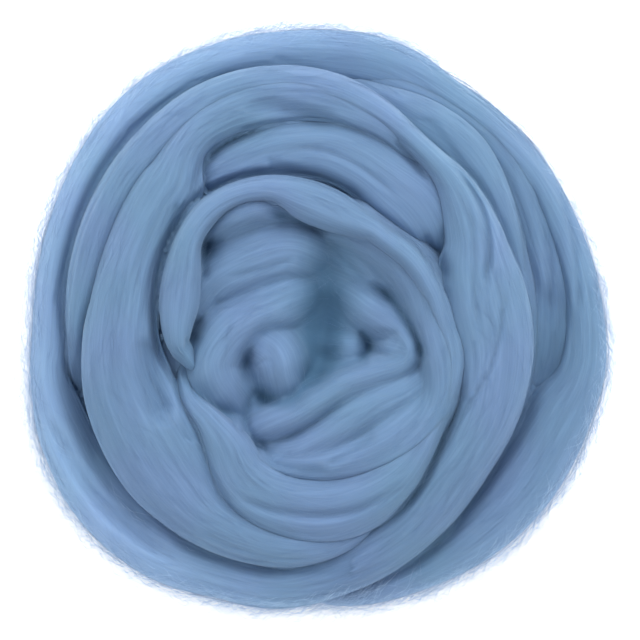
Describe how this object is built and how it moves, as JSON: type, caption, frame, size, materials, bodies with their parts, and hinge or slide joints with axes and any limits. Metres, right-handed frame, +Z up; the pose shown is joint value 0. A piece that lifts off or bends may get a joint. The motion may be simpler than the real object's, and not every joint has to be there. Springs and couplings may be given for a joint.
{
  "type": "coiled wool roving",
  "caption": "Soft combed wool roving wound clockwise into a round nest, with overlapping turns and folded locks in its hollow middle.",
  "frame": {"origin": "on the face that the nest rests on, under its middle", "axes": "+Z up, out of the nest's hollow middle; +X to the right and +Y away, as the nest is seen from above"},
  "size_m": [0.1748, 0.1754, 0.0674],
  "materials": {
    "wool": "soft matte combed wool fibre with a faint sheen"
  },
  "bodies": {
    "root": {"roving_nest": "wool"}
  },
  "joints": []
}
